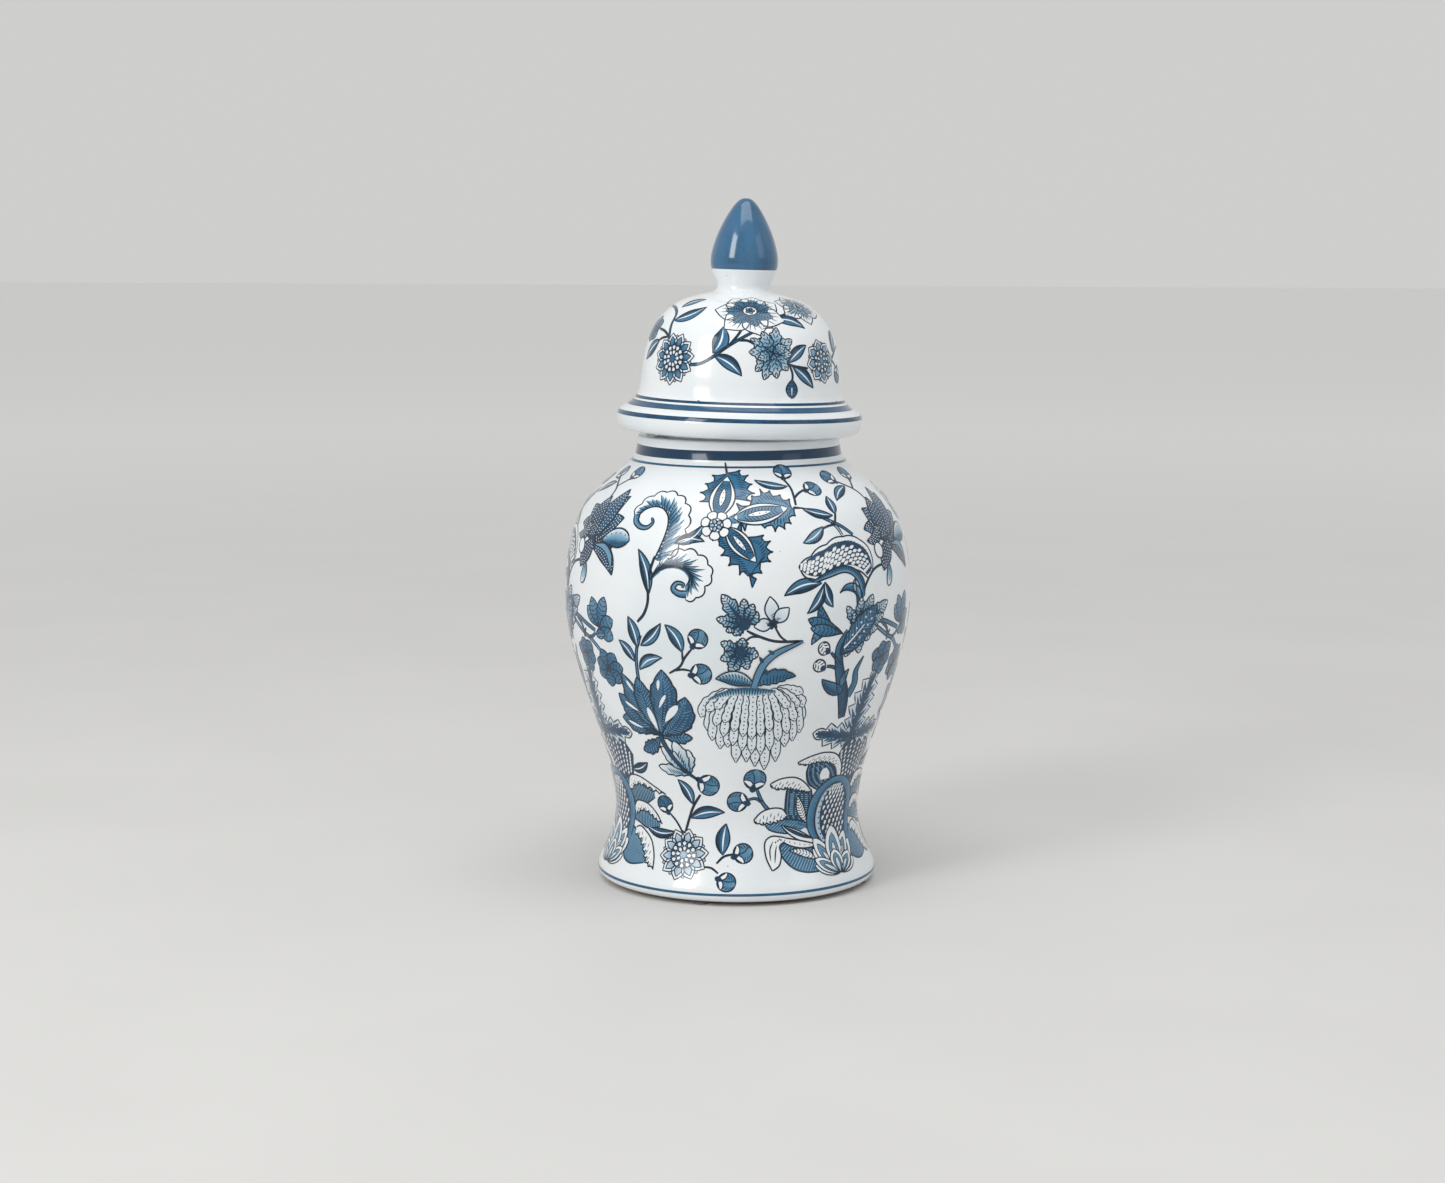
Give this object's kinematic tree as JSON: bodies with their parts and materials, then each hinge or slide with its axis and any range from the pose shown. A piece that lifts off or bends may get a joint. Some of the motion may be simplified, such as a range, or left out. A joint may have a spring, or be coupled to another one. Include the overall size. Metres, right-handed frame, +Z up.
{
  "type": "lidded ginger jar",
  "caption": "Glazed baluster jar with a flared foot, and a domed lift-off lid with a flanged rim and a bud-shaped finial.",
  "frame": {"origin": "on the surface that the foot pads stand on, on the jar's axis", "axes": "+Z up along the jar's axis, -Y towards the front, +X to the right seen from the front"},
  "size_m": [0.1802, 0.1802, 0.355],
  "materials": {
    "jar_porcelain": "clear gloss glaze over white porcelain with a cobalt blue floral print",
    "lid_porcelain": "clear gloss glaze over white porcelain with a cobalt blue floral print and a solid blue finial",
    "blue_print": "cobalt blue transfer print under the clear gloss glaze",
    "clear_silicone": "clear soft stick-on bumper, slightly frosted"
  },
  "bodies": {
    "jar_body": {"jar": "jar_porcelain", "foot_pad_1": "clear_silicone", "foot_pad_2": "clear_silicone", "foot_pad_3": "clear_silicone", "foot_pad_4": "clear_silicone"},
    "lid_body": {"lid": "lid_porcelain", "lid_bumper_1": "clear_silicone", "lid_bumper_2": "clear_silicone", "lid_bumper_3": "clear_silicone"}
  },
  "joints": [
    {"name": "lid_lift", "type": "slide", "parent": "jar_body", "child": "lid_body", "axis": [0, 0, 1], "range_m": [0, 0.15]}
  ]
}
